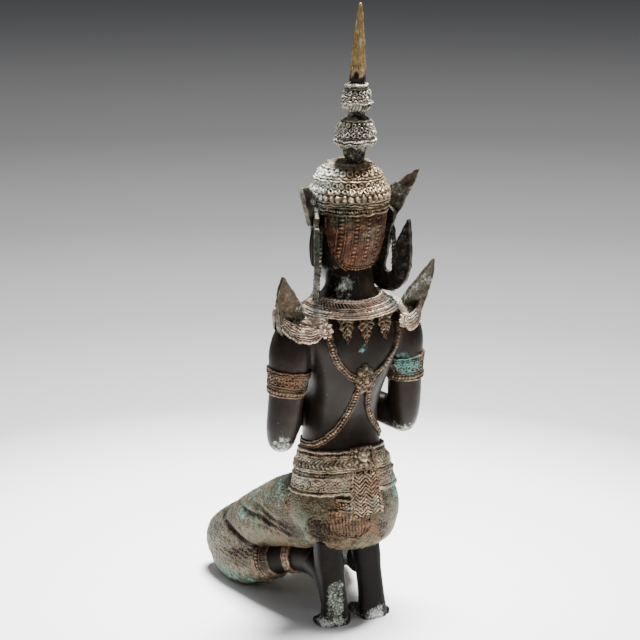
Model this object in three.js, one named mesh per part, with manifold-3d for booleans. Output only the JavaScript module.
// A kneeling thepphanom, the worshipping deity of Thai temple art, as a small bronze.
// It sits back on its heels with its toes bent, joins its hands before the chest and wears a domed crown.
// Millimetres, +Z up. The figure faces -Y and its left side is +X.
// The whole figure is one casting. A slender point of brass is set in the top of its spire.
import * as THREE from 'three';
import { mergeVertices } from 'three/addons/utils/BufferGeometryUtils.js';
import Module from 'manifold-3d';

const { cos, sin, exp, PI, sign, abs, min, max } = Math;

// Driving dimensions
const TOTAL_HEIGHT = 500;
const TIP_FOOT_HEIGHT = 438.8;
const TIP_FOOT_RADIUS = 6.3;
const HEM_HEIGHT = 70;
const BELT_BOTTOM = 115;
const BELT_TOP = 150;
const CROWN_BOTTOM = 336;
const TOUCHING_GAP = 0.3;

// Height, middle front to back, half width, half depth and squareness of the trunk, from the seat to the neck
const TRUNK = [
  [66, 5, 27, 26, 2.2],
  [HEM_HEIGHT, 4, 37, 31, 2.2],
  [76, 3.5, 41, 33.2, 2.2],
  [90, 2, 45.6, 36.6, 2.2],
  [102, 1.3, 44.8, 37, 2.2],
  [115, 0.3, 40.4, 35.6, 2.2],
  [128, -0.8, 37.4, 34.4, 2.2],
  [138, -2, 34.2, 33, 2.2],
  [146, -3.6, 31, 31.6, 2.2],
  [154, -5.2, 30, 30.6, 2.2],
  [164, -6, 29.8, 29.4, 2.2],
  [176, -5, 29.2, 28.6, 2.2],
  [188, -2.4, 30, 29.6, 2.2],
  [199, 0, 31.6, 31.4, 2.3],
  [210, 1, 34.4, 32.4, 2.6],
  [225, 1.4, 39.4, 32.8, 3],
  [238, 1.8, 43, 32.6, 3.4],
  [248, 2.6, 44.5, 31, 3.2],
  [257, 4, 43, 28.4, 2.7],
  [265, 5.6, 35.5, 25.4, 2.3],
  [271, 7.4, 26, 22.4, 2.1],
  [278, 8.8, 20, 20, 2],
  [286, 8.8, 19, 19, 2],
  [296, 7, 18, 18, 2],
];

// Height, middle, half width and half depth of the head, from under the chin up into the crown
const HEAD = [
  [277, -8, 7, 9],
  [281, -7.5, 12.5, 15.5],
  [288, -4.5, 18, 21.5],
  [297, -1.6, 22.4, 26.4],
  [308, -0.6, 25.6, 30],
  [320, 1.4, 27, 31.8],
  [331, 3.1, 27.6, 32.4],
  [342, 6, 26.5, 30],
];

// Limbs of the figure's left side: station, the point of the axis, half width and half height there
const THIGH = [
  [0, 19, 10, 92, 21, 23],
  [1, 21, -14, 89, 25, 31],
  [2, 24, -38, 81.5, 25.5, 30.5],
  [3, 29, -66, 68.5, 25, 27],
  [4, 34, -94, 51.5, 23, 25.5],
  [5, 37.5, -118, 38, 21, 24],
  [6, 38.5, -137, 26.5, 18, 21.5],
  [7, 38.5, -149, 21.5, 12.5, 15],
  [8, 38.5, -154.5, 19.5, 4, 6],
];
const SHIN = [
  [0, 38.5, -147, 20, 6, 9],
  [1, 38.5, -138, 19.5, 15, 18.2],
  [2, 38.8, -120, 19.8, 18.8, 22],
  [3, 38.4, -100, 21.2, 19.5, 22.3],
  [4, 37, -82, 26, 18.6, 20],
  [5, 35, -66, 31, 17, 17.5],
  [6, 32.5, -52, 36, 14, 14.5],
  [7, 29, -38, 41, 11.5, 12.5],
  [8, 25.5, -24, 44.5, 10.5, 12],
  [10, 21, 8, 48, 10, 13],
];
const UPPER_ARM = [
  [0, 42, 6, 249, 12, 12],
  [1, 47.5, 6, 243, 16, 15.5],
  [2, 51, 5.6, 230, 17.2, 17.2],
  [3, 52.3, 5, 216, 16, 16.2],
  [4, 54.2, 4.7, 200, 14, 14.4],
  [5, 55.4, 3, 181, 13.6, 13.9],
  [6, 56.4, 0.6, 165, 12.6, 12.9],
  [7, 56.6, -2, 153, 9.6, 9.8],
  [8, 56.6, -3, 148.6, 4.6, 4.6],
];
const FOREARM = [
  [1, 56.2, -3, 159, 11.4, 11.4],
  [2, 47, -12, 165, 12.4, 12.6],
  [3, 36, -22, 171, 11.2, 11.4],
  [4, 24, -33, 176.5, 9.2, 9.4],
  [5, 13, -42, 181, 7.8, 8],
  [6, 7, -46.5, 183.5, 6, 7],
];
const ARMLET_LIFTS = [[2.9, 0], [2.94, 1.6], [3.5, 0.9], [4.14, 1.6], [4.2, 0]];
const BANGLE_LIFTS = [[4.2, 0], [4.3, 1.6], [4.9, 1.6], [5, 0]];
const CUFF_LIFTS = [[5.1, 0], [5.2, 1.6], [6, 1.4], [6.1, -1.4]];
const ANKLET_LIFTS = [[7.1, -0.4], [7.2, 1.6], [7.7, 1.6], [7.8, -0.4]];
const KNEE_ROLL_LIFTS = [[4.4, 0], [5, 1.8], [5.4, 0]];

// Joined hands, bottom to top: height, middle front to back, half width of the pair and half depth
const HANDS = [
  [174, -43, 6, 6],
  [180, -45, 10, 9.5],
  [190, -47.5, 9.8, 12],
  [203, -50, 8.8, 12.2],
  [216, -52, 8.2, 10.6],
  [229, -53.6, 7.2, 8.2],
  [239, -54.6, 5.6, 5.8],
  [243.5, -55, 2.4, 2.6],
];

// The upright sole and heel of one foot: height, half width and thickness. Both feet lean to the left
const SOLE_PLANE = 26;
const SOLE_MIDDLE = 17.4;
const FOOT_LEAN = 0.11;
const SOLE = [
  [-1.5, 11.6, 13],
  [8, 13, 14],
  [20, 12.6, 12],
  [44, 12, 14],
  [56, 11.8, 16],
  [75, 10.5, 16],
];
const TOE_RADII = [4.4, 3.4, 3.1, 2.9, 2.6];
const TOE_TIPS = [-3.5, -1.8, 0, 2.6, 5.6];

const wasm = await Module();
wasm.setup();

// A smooth curve through rows that each start with their own parameter
function through(rows) {
  const last = rows.length - 1;
  const slope = (row, column) => {
    const before = rows[max(row - 1, 0)];
    const after = rows[min(row + 1, last)];
    return (after[column] - before[column]) / (after[0] - before[0]);
  };
  return (parameter) => {
    const t = min(max(parameter, rows[0][0]), rows[last][0]);
    let row = 0;
    while (row < last - 1 && t > rows[row + 1][0]) row += 1;
    const span = rows[row + 1][0] - rows[row][0];
    const s = (t - rows[row][0]) / span;
    return rows[row].slice(1).map((start, index) => {
      const end = rows[row + 1][index + 1];
      const leave = slope(row, index + 1) * span;
      const arrive = slope(row + 1, index + 1) * span;
      return start * (1 + 2 * s) * (1 - s) ** 2 + leave * s * (1 - s) ** 2
        + end * s * s * (3 - 2 * s) + arrive * s * s * (s - 1);
    });
  };
}

function lerp(from, to, share) {
  return from + (to - from) * share;
}

function steps(from, to, count) {
  return Array.from({ length: count + 1 }, (_, k) => lerp(from, to, k / count));
}

function turns(count) {
  return Array.from({ length: count }, (_, k) => (2 * PI * k) / count);
}

// Turns a list of corners and triangles into a closed body with its faces pointing out
function body(corners, triangles) {
  const geometry = new THREE.BufferGeometry();
  geometry.setAttribute('position', new THREE.Float32BufferAttribute(corners.flat(), 3));
  geometry.setIndex(triangles.flat());
  return closed(geometry);
}

function closed(source) {
  source.deleteAttribute('normal');
  source.deleteAttribute('uv');
  const geometry = mergeVertices(source, 1e-4);
  const at = geometry.attributes.position;
  const index = geometry.index.array;
  const corner = (k) => new THREE.Vector3().fromBufferAttribute(at, index[k]);
  let volume = 0;
  for (let k = 0; k < index.length; k += 3) {
    volume += corner(k).dot(corner(k + 1).cross(corner(k + 2)));
  }
  if (volume < 0) {
    for (let k = 0; k < index.length; k += 3) {
      [index[k], index[k + 1]] = [index[k + 1], index[k]];
    }
  }
  const mesh = new wasm.Mesh({ numProp: 3, vertProperties: at.array, triVerts: new Uint32Array(index) });
  mesh.merge();
  return new wasm.Manifold(mesh);
}

// A closed body through rings of equally many points, with both ends capped
function loft(rings) {
  const count = rings[0].length;
  const corners = rings.flat();
  const triangles = [];
  for (let ring = 0; ring < rings.length - 1; ring += 1) {
    for (let k = 0; k < count; k += 1) {
      const a = ring * count + k;
      const b = ring * count + ((k + 1) % count);
      triangles.push([a, b, b + count], [a, b + count, a + count]);
    }
  }
  [0, rings.length - 1].forEach((ring) => {
    const middle = [0, 1, 2].map((axis) => rings[ring].reduce((sum, point) => sum + point[axis], 0) / count);
    corners.push(middle);
    for (let k = 0; k < count; k += 1) {
      const a = ring * count + k;
      const b = ring * count + ((k + 1) % count);
      triangles.push(ring === 0 ? [b, a, corners.length - 1] : [a, b, corners.length - 1]);
    }
  });
  return body(corners, triangles);
}

// A closed plate between two surfaces that are both given over 0..1 across and 0..1 up
function plate(across, up, front, back) {
  const width = across + 1;
  const corners = [];
  const triangles = [];
  [front, back].forEach((surface) => {
    steps(0, 1, up).forEach((v) => steps(0, 1, across).forEach((u) => corners.push(surface(u, v))));
  });
  const behind = width * (up + 1);
  for (let row = 0; row < up; row += 1) {
    for (let column = 0; column < across; column += 1) {
      const a = row * width + column;
      const b = a + 1;
      const c = a + width;
      const d = c + 1;
      triangles.push([a, b, d], [a, d, c], [b + behind, a + behind, d + behind], [d + behind, a + behind, c + behind]);
    }
  }
  const rim = [];
  for (let column = 0; column < across; column += 1) rim.push(column);
  for (let row = 0; row < up; row += 1) rim.push(row * width + across);
  for (let column = across; column > 0; column -= 1) rim.push(up * width + column);
  for (let row = up; row > 0; row -= 1) rim.push(row * width);
  rim.forEach((a, k) => {
    const b = rim[(k + 1) % rim.length];
    triangles.push([b, a, a + behind], [b, a + behind, b + behind]);
  });
  return body(corners, triangles);
}

function mirrored(solid) {
  return solid.mirror([1, 0, 0]);
}

function both(solid) {
  return [solid, mirrored(solid)];
}

// A point on the trunk: angle from the spine towards the left side, height, and lift above the skin
const trunkAt = through(TRUNK);

function squared(value, power) {
  return sign(value) * abs(value) ** (2 / power);
}

function trunk(angle, height, lift = 0) {
  const [middle, halfWidth, halfDepth, power] = trunkAt(height);
  return [
    (halfWidth + lift) * squared(sin(angle), power),
    middle + (halfDepth + lift) * squared(cos(angle), power) + bladeBulge(angle, height),
    height,
  ];
}

// The shoulder blades stand a little proud on both sides of the spine
function bladeBulge(angle, height) {
  if (cos(angle) <= 0) return 0;
  const round = (abs(sin(angle)) - 0.5) / 0.3;
  return 2.6 * exp(-round * round) * exp(-(((height - 234) / 15) ** 2)) * cos(angle);
}

// A point at the trunk's back or front at a given distance from the middle plane
function trunkFace(across, height, lift, facing) {
  const [, halfWidth, , power] = trunkAt(height);
  const share = min(abs(across) / (halfWidth + lift), 1);
  const turn = sign(across) * Math.asin(share ** (power / 2));
  return trunk(facing > 0 ? turn : PI - turn, height, lift);
}

// The trunk with the belt's ridges, studs row and broad band, and the lip of the cloth over the heels
function trunkBody() {
  const belt = [
    [-0.6, 0], [0, 3], [3, 1.9], [12.4, 2], [13.4, 3.2], [17, 1.7], [19, 3], [24, 2.8], [25.6, 1.6], [31, 2.6],
    [BELT_TOP - BELT_BOTTOM - 0.6, 2.2], [BELT_TOP - BELT_BOTTOM, 0],
  ].map(([rise, lift]) => [BELT_BOTTOM + rise, lift]);
  const rows = [
    [66, 0], [HEM_HEIGHT, 1.2], [74, 0.9], [80, 0], [91, 0], [103, 0], ...belt,
    ...[158, 172, 187, 200, 213, 228, 243, 254, 265, 277, 296].map((height) => [height, 0]),
  ];
  const angles = turns(18);
  return loft(rows.map(([height, lift]) => angles.map((angle) => trunk(-angle, height, lift))));
}

// A ring of points across a path, at a point of the path, square to its direction
function crossRing(path, at, count, lift, power) {
  const [x, y, z, halfWidth, halfHeight] = path(at);
  const step = 0.02;
  const ahead = new THREE.Vector3(...path(at + step).slice(0, 3));
  const along = ahead.sub(new THREE.Vector3(...path(at - step).slice(0, 3))).normalize();
  const side = new THREE.Vector3(1, 0, 0).addScaledVector(along, -along.x).normalize();
  const rise = new THREE.Vector3().crossVectors(along, side);
  return turns(count).map((angle) => new THREE.Vector3(x, y, z)
    .addScaledVector(side, (halfWidth + lift) * squared(cos(angle), power))
    .addScaledVector(rise, (halfHeight + lift) * squared(sin(angle), power)).toArray());
}

// A limb along its path, with raised bands where the lifts say so
function limb(rows, count, lifts = [], power = 2) {
  const path = through(rows);
  const bare = rows.map(([at]) => [at, 0]).filter(([at]) => !lifts.length || at < lifts[0][0] - 0.1
    || at > lifts[lifts.length - 1][0] + 0.1);
  const stations = [...bare, ...lifts].sort((a, b) => a[0] - b[0]);
  return loft(stations.map(([at, lift]) => crossRing(path, at, count, lift, power)));
}

// A round body about an upright axis that may lean: rows of height, radius and depth against width
function turned(rows, count, axis, facets = () => 1) {
  return loft(rows.map(([height, radius, stretch = 1]) => turns(count).map((angle) => [
    radius * facets(angle) * sin(-angle),
    axis(height) + radius * stretch * facets(angle) * cos(-angle),
    height,
  ])));
}

// The spire leans back a little
const spireAt = through([[374, 13], [381, 15.6], [395, 16.6], [414, 18.6], [438, 19.5], [TOTAL_HEIGHT, 24]]);
const spireAxis = (height) => spireAt(height)[0];

// The head is an egg in plan, narrower towards the face
const headAt = through(HEAD);

function head(angle, height, lift = 0) {
  const [middle, halfWidth, halfDepth] = headAt(height);
  const taper = 1 - 0.1 * max(0, -cos(angle));
  return [(halfWidth + lift) * taper * sin(angle), middle + (halfDepth + lift) * cos(angle), height];
}

function headBody() {
  const heights = [277, 281, 288, 300, 313, 326, 342];
  return loft(heights.map((height) => turns(12).map((angle) => head(-angle, height))));
}

// Nose, lips and lowered eyelids, small and regular
function faceParts() {
  const nose = loft([
    [[0, -31.6, 326], [1.6, -27, 326], [-1.6, -27, 326]],
    [[0, -35.6, 313], [2.2, -27, 313], [-2.2, -27, 313]],
    [[0, -38.4, 306], [4.2, -27, 306.5], [-4.2, -27, 306.5]],
    [[0, -34.5, 303], [3.4, -27, 303.5], [-3.4, -27, 303.5]],
  ]);
  const spindle = (length, radius, thick) => [[-1, 0.3], [-0.4, 0.95], [0.4, 0.95], [1, 0.3]]
    .map(([along, share]) => turns(5).map((angle) => [
      along * length, radius * share * cos(angle), thick * share * sin(angle),
    ]));
  const place = (rings, x, y, z) => loft(rings.map((ring) => ring.map((point) => [point[0] + x, point[1] + y, point[2] + z])));
  const lips = place(spindle(6.4, 3, 2), 0, -29.5, 297);
  const lid = place(spindle(5.8, 3, 2.8), 10, -25.6, 316.5);
  return [nose, lips, ...both(lid)];
}

// The cap of hair behind the neck, with a round lower edge
function hairCover() {
  const half = 0.39 * PI;
  const bottom = (u) => 291.5 + 38 * abs(2 * u - 1) ** 3.2;
  const surface = (lift) => (u, v) => head(lerp(-half, half, u), lerp(bottom(u), CROWN_BOTTOM + 3, v), lift);
  return plate(8, 3, surface(2.6), surface(-3));
}

// The crown: a beaded band, two swelling tiers of petals and a low neck under the spire
function crownBody() {
  const rows = [
    [CROWN_BOTTOM, 25, 1.12], [CROWN_BOTTOM + 0.5, 28.4, 1.14], [341.8, 28.6, 1.12], [342.6, 30, 1.08],
    [345.4, 29.2, 1.06], [348, 31, 1.06], [353, 31.4, 1.04], [358, 30.4], [359.4, 29], [366, 27.2], [371.6, 23],
    [376.6, 17], [379, 9],
  ];
  const petals = (angle) => 1 + 0.02 * abs(cos(angle * 4));
  return turned(rows, 16, (height) => lerp(8.8, 7, (height - CROWN_BOTTOM) / 40), petals);
}

// Two lotus tiers of the spire, each a flared cup over a knop
function spireTiers() {
  const rows = [
    [374, 10], [379, 7.6], [387.6, 10.4], [391, 14.8], [394.9, 16.8], [399, 14.6], [404, 11.8], [413, 11],
    [415.6, 7.8], [420.4, 9.8], [425.4, 12.4], [429.4, 10.8], [434, 8.8],
    [TIP_FOOT_HEIGHT, 8.2], [TIP_FOOT_HEIGHT + 0.6, 5.8],
  ];
  return turned(rows, 10, spireAxis);
}

// The faceted point of brass, seated on the top tier
function tipSolid() {
  const foot = TIP_FOOT_HEIGHT + 0.6 + TOUCHING_GAP;
  const rows = [
    [foot, TIP_FOOT_RADIUS], [foot + 5, TIP_FOOT_RADIUS], [foot + 7, 6], [foot + 17, 5.5], [foot + 32, 4.3],
    [foot + 47, 2.8], [TOTAL_HEIGHT - 2.4, 1.4], [TOTAL_HEIGHT, 0.4],
  ];
  return turned(rows, 8, spireAxis);
}

// Flat outlines for the ear ornament: the run out and back from the ear, and the height
const EAR_FOOT = [27, 5];
const EAR_RUN = [0.488, 0.873];
const EAR_OUTLINE = [
  [7, 346], [11, 341], [17, 337], [17, 331], [13, 318], [11.4, 304], [7.6, 292], [9.4, 288], [13.6, 288], [15.8, 292.6],
  [14.8, 304], [19, 315], [24.5, 324.6], [29.6, 332.4], [32, 309], [32, 296], [29.6, 284.5], [22, 274.6], [13, 271.5],
  [4, 272.5], [-4, 277.5], [-9, 285], [-10, 342],
];
const EAR_BLADE = [
  [2, 338], [14.8, 334], [18, 340], [20.8, 345], [25, 352], [29.4, 361], [32.6, 369.6], [25.8, 365.4], [20, 360.2],
  [13, 357.4], [4, 352],
];
const BLADE_RUN = [0.788, 0.616];
const EAR_THICKNESS = 4.2;
const BROKEN_TIP_HEIGHT = 363;

function upright(outline, run) {
  const shape = new THREE.Shape(outline.map(([t, z]) => new THREE.Vector2(t, z)));
  const geometry = new THREE.ExtrudeGeometry(shape, { depth: EAR_THICKNESS, bevelEnabled: false });
  const out = new THREE.Vector3(run[0], run[1], 0);
  const square = new THREE.Vector3(run[1], -run[0], 0);
  geometry.applyMatrix4(new THREE.Matrix4().makeBasis(out, new THREE.Vector3(0, 0, 1), square));
  const half = EAR_THICKNESS / 2;
  geometry.translate(EAR_FOOT[0] - square.x * half, EAR_FOOT[1] - square.y * half, 0);
  return closed(geometry);
}

// The right blade is whole; the left one has lost its tip
function earOrnaments() {
  const worn = EAR_BLADE.map(([t, z]) => [t, min(z, BROKEN_TIP_HEIGHT)]);
  const plates = both(upright(EAR_OUTLINE, EAR_RUN));
  return [...plates, upright(worn, BLADE_RUN), mirrored(upright(EAR_BLADE, BLADE_RUN))];
}

// The stepped collar: rings that spread from the foot of the neck over the shoulders and the chest
function collarPoint(angle, share, lift) {
  const across = lerp(23, 44, share);
  const deep = cos(angle) > 0 ? lerp(21, 30, share) : lerp(20, 35, share);
  const side = abs(sin(angle)) ** 1.5;
  const middleHeight = cos(angle) > 0 ? lerp(270, 257, share) : lerp(266, 240, share);
  const height = lerp(middleHeight, lerp(271.5, 263, share), side);
  return [(across + lift) * sin(angle), 5.5 + (deep + lift) * cos(angle), height + lift * (1 - share)];
}

function collar() {
  const profile = [[0, 0.4], [0.08, 2.8], [0.38, 1.4], [0.62, 2.6], [0.78, 1.6], [0.94, 2.6], [1, 0.6]];
  const ring = (share, lift, sink) => turns(16).map((angle) => {
    const [x, y, z] = collarPoint(-angle, share, lift);
    return [x, y, z - sink];
  });
  const top = profile.map(([share, lift]) => ring(share, lift, 0));
  return loft([ring(1, -8, 6), ...top.reverse()]);
}

// A leaf-shaped drop that lies on the trunk below the collar
function pendant(middle, top, length, halfWidth, facing) {
  const outline = (v) => halfWidth * (v < 0.35 ? lerp(0.6, 1, v / 0.35) : 1 - ((v - 0.35) / 0.68) ** 1.6);
  const surface = (lift, crest) => (u, v) => {
    const across = (2 * u - 1) * max(outline(v), 0.25);
    const rise = lift + crest * (1 - abs(2 * u - 1)) * (1 - v * 0.5);
    return trunkFace(middle + across, top - length * v, rise, facing);
  };
  return plate(2, 3, surface(1.6, 1.8), surface(-3, 0));
}

function pendants() {
  const behind = [[0, 259, 21, 5.2, 1], [16.5, 258, 18, 4.6, 1], [-16.5, 258, 18, 4.6, 1]];
  return [...behind, [0, 243, 30, 9, -1]].map((sizes) => pendant(...sizes));
}

// A leaf that stands on the shoulder, leaning back, hollow behind
const LEAF_INNER = through([[0, 43, 248], [0.2, 45, 262], [0.5, 51, 273], [0.8, 59, 284.5], [1, 67, 295]]);
const LEAF_OUTER = through([[0, 63, 246], [0.2, 66.5, 256], [0.5, 69.5, 270], [0.8, 70.6, 284], [1, 68.8, 295.8]]);

function shoulderLeaf() {
  const surface = (behind) => (u, v) => {
    const [innerX, innerZ] = LEAF_INNER(v);
    const [outerX, outerZ] = LEAF_OUTER(v);
    const hollow = 3.2 * (1 - (2 * u - 1) ** 2) * (1 - v) ** 0.5;
    const face = 13 + 13 * v ** 1.3 + 4 * (1 - u) * (1 - v) - hollow * 0.4;
    return [lerp(innerX, outerX, u), behind ? face : face - lerp(6, 2.6, v) - hollow * 0.3, lerp(innerZ, outerZ, u)];
  };
  return plate(3, 5, surface(true), surface(false));
}

// The crescent hangs round the shoulder from the leaf's outer foot to the strap
const CRESCENT_BACK = through([
  [0, 65, 10, 257], [1, 61.5, 14.5, 248.5], [2, 56, 19.5, 243.5], [3, 49, 23.5, 241], [4, 42, 28.5, 242.5], [5, 36, 33, 248.5],
]);
const CRESCENT_FRONT = through([
  [0, 64, 2, 256], [1, 60, -4, 248.5], [2, 53, -11.5, 243.5], [3, 45, -18, 241], [4, 38, -24.5, 242.5], [5, 32, -28.5, 247.5],
]);

function crescent(path, outward, count) {
  const width = 9.5;
  const surface = (lift) => (u, v) => {
    const [x, y, z] = path(u * 5);
    const bulge = lift > 0 ? 1.8 * (1 - (2 * v - 1) ** 2) : 0;
    return [x - v * width * 0.32, y + outward * (lift + bulge - v * 1.5), z + (v - 0.15) * width];
  };
  return plate(count, 2, surface(1), surface(-9));
}

// A flower boss: petals round a knob, facing back or to the front
function boss([x, y, z], radius, height, petals, facing, turn = 0) {
  const rings = [[-2, 1], [height * 0.6, 1], [height * 1.3, 0.36]];
  const flower = loft(rings.map(([rise, share]) => turns(petals * 2).map((angle, k) => {
    const reach = radius * share * (k % 2 && share > 0.6 ? 0.74 : 1);
    return [reach * sin(angle), rise, reach * cos(angle)];
  })));
  return flower.rotate([0, 0, turn + (facing > 0 ? 0 : 180)]).translate([x, y, z]);
}

// Straps that lie on the trunk: the angle from the spine and the height, from the collar to the middle and round
const STRAP_UPPER = through([
  [0, 0.6, 250], [1, 0.55, 238], [2, 0.52, 227], [3, 0.38, 217], [4, 0.18, 210], [5, 0.02, 208],
]);
const STRAP_LOWER = through([
  [0, 0.02, 207], [1, 0.14, 195], [2, 0.24, 183], [3, 0.45, 170], [4, 0.88, 157.5], [5, 1.45, 152.5], [6, 2.1, 151],
  [7, 3.1, 150.5],
]);
const STRAP_FRONT = through([[0, 2.5, 247], [1, 2.56, 234], [2, 2.72, 222], [3, 3, 212], [4, 3.14, 209]]);

function strap(path, length, count) {
  const halfWidth = 2.9;
  const surface = (lift) => (u, v) => {
    const at = length * v;
    const here = new THREE.Vector3(...trunk(...path(at)));
    const run = new THREE.Vector3(...trunk(...path(at + 0.02))).sub(new THREE.Vector3(...trunk(...path(at - 0.02))));
    const outward = new THREE.Vector3(here.x, here.y - trunkAt(here.z)[0], 0).normalize();
    const across = new THREE.Vector3().crossVectors(run.normalize(), outward).normalize();
    const crown = lift > 0 ? lift * (1 - 0.4 * (2 * u - 1) ** 2) : lift;
    return here.addScaledVector(across, (2 * u - 1) * halfWidth).addScaledVector(outward, crown).toArray();
  };
  return plate(1, count, surface(2), surface(-3));
}

// The upright panel at the back of the belt, with a round knob in a flower near its top
function backPanel() {
  const surface = (lift) => (u, v) => {
    const halfWidth = v < 0.18 ? 17 : lerp(15, 14, v);
    const edge = v < 0.18 || v > 0.95 || abs(2 * u - 1) > 0.9 ? 1 : 0;
    return trunkFace((2 * u - 1) * halfWidth, lerp(98, BELT_TOP + 1, v), lift > 0 ? lift + edge : lift, 1);
  };
  return [plate(4, 5, surface(3.6), surface(-2)), boss([0, 34, 141.4], 8, 3, 5, 1)];
}

// The cloth tail under the panel: pleats that fan out to the hem
function pleatFan() {
  const surface = (lift) => (u, v) => {
    const pleat = lift > 0 ? 1.2 * abs(cos(u * 4 * PI)) : 0;
    return trunkFace((2 * u - 1) * lerp(18, 10, v), lerp(HEM_HEIGHT + 3, 99, v), lift + pleat, 1);
  };
  return plate(8, 2, surface(1), surface(-3));
}

// A long front cloth that falls from the belt over the lap, its end between the knees
function frontCloth() {
  const fall = through([[0, -34, 128], [1, -50, 116], [2, -66, 100.5], [3, -84, 84], [4, -102, 67], [5, -114, 54]]);
  const surface = (rise) => (u, v) => {
    const [y, z] = fall(v * 5);
    const side = 2 * u - 1;
    const halfWidth = lerp(9, 14, v) * (v > 0.85 ? 1 - (v - 0.85) * 2.4 : 1);
    const height = rise > 0 && abs(side) > 0.7 ? rise + 0.9 : rise;
    return [side * halfWidth, y - height * 0.6, z + height * 0.8];
  };
  return plate(4, 5, surface(1.5), surface(-24));
}

// One foot: the upright sole and heel, and five toes bent forward on the ground
function foot(side) {
  const middleAt = (height) => side * SOLE_MIDDLE + FOOT_LEAN * height;
  const power = 3.4;
  const heel = loft(SOLE.map(([height, halfWidth, thick]) => turns(10).map((angle) => [
    middleAt(height) + halfWidth * squared(cos(angle), power),
    SOLE_PLANE - thick / 2 + (thick / 2) * squared(sin(angle), power),
    height,
  ])));
  let x = SOLE_MIDDLE - 12.8;
  const toes = TOE_RADII.map((radius, k) => {
    x += radius;
    const toe = limb([
      [0, side * x, SOLE_PLANE - 4, radius, radius, radius + 1.5],
      [1, side * x, 9, radius, radius * 1.04, radius + 1],
      [2, side * x, TOE_TIPS[k], radius * 0.8, radius * 0.6, radius * 0.6],
    ], 5);
    x += radius * 0.66;
    return toe;
  });
  return [heel, ...toes];
}

// The legs are alike, but both feet lean to the left, so the shins run to different places
function shin(side) {
  const rows = SHIN.map(([at, x, y, z, a, b]) => {
    const share = min(max((at - 4) / 6, 0), 1);
    return [at, side * (x - FOOT_LEAN * 48 * share) + FOOT_LEAN * 48 * share, y, z, a, b];
  });
  return limb(rows, 10, [...CUFF_LIFTS, ...ANKLET_LIFTS], 2.2);
}

// Everything below the floor plane is cut flat, so that the knees and toes rest on it
function aboveFloor() {
  const size = 600;
  const block = new THREE.BoxGeometry(size, size, size);
  block.translate(0, 0, size / 2);
  return closed(block);
}

function figureSolid() {
  const hands = loft(HANDS.map(([height, middle, halfWidth, halfDepth]) => turns(8).map((angle) => [
    halfWidth * cos(angle), middle + halfDepth * sin(angle), height,
  ])));
  const paired = [
    limb(THIGH, 12, KNEE_ROLL_LIFTS, 2.4), limb(UPPER_ARM, 9, ARMLET_LIFTS), limb(FOREARM, 7, BANGLE_LIFTS),
    shoulderLeaf(), crescent(CRESCENT_BACK, 1, 5), crescent(CRESCENT_FRONT, -1, 3),
    strap(STRAP_UPPER, 5, 6), strap(STRAP_LOWER, 7, 9), strap(STRAP_FRONT, 4, 3), boss([35, 32, 251.5], 6, 3, 5, 1, -30),
  ];
  const single = [
    trunkBody(), headBody(), ...faceParts(), hairCover(), crownBody(), spireTiers(), ...earOrnaments(), collar(),
    ...pendants(), ...backPanel(), pleatFan(), frontCloth(), hands, shin(1), shin(-1), ...foot(1), ...foot(-1),
    boss([0, 33, 208], 8.5, 3, 4, 1), boss([0, -33, 209], 7, 3, 5, -1),
  ];
  return [...single, ...paired.flatMap(both)].reduce((sum, solid) => sum.add(solid)).intersect(aboveFloor());
}

function meshOf(solid, name, colour, roughness, metalness) {
  const { vertProperties, triVerts } = solid.getMesh();
  const geometry = new THREE.BufferGeometry();
  geometry.setAttribute('position', new THREE.BufferAttribute(vertProperties, 3));
  geometry.setIndex(new THREE.BufferAttribute(triVerts, 1));
  geometry.computeVertexNormals();
  const mesh = new THREE.Mesh(geometry, new THREE.MeshStandardMaterial({ color: colour, roughness, metalness }));
  mesh.name = name;
  return mesh;
}

const figure = meshOf(figureSolid(), 'figure', 0x3a332d, 0.55, 0.8);
const spireTip = meshOf(tipSolid(), 'spire_tip', 0x9a7440, 0.4, 0.9);

// The origin is under the middle of the whole part
const part = new THREE.Group();
part.add(figure, spireTip);
const middle = new THREE.Box3().setFromObject(part).getCenter(new THREE.Vector3());
part.position.set(0, -middle.y, 0);

export default part;
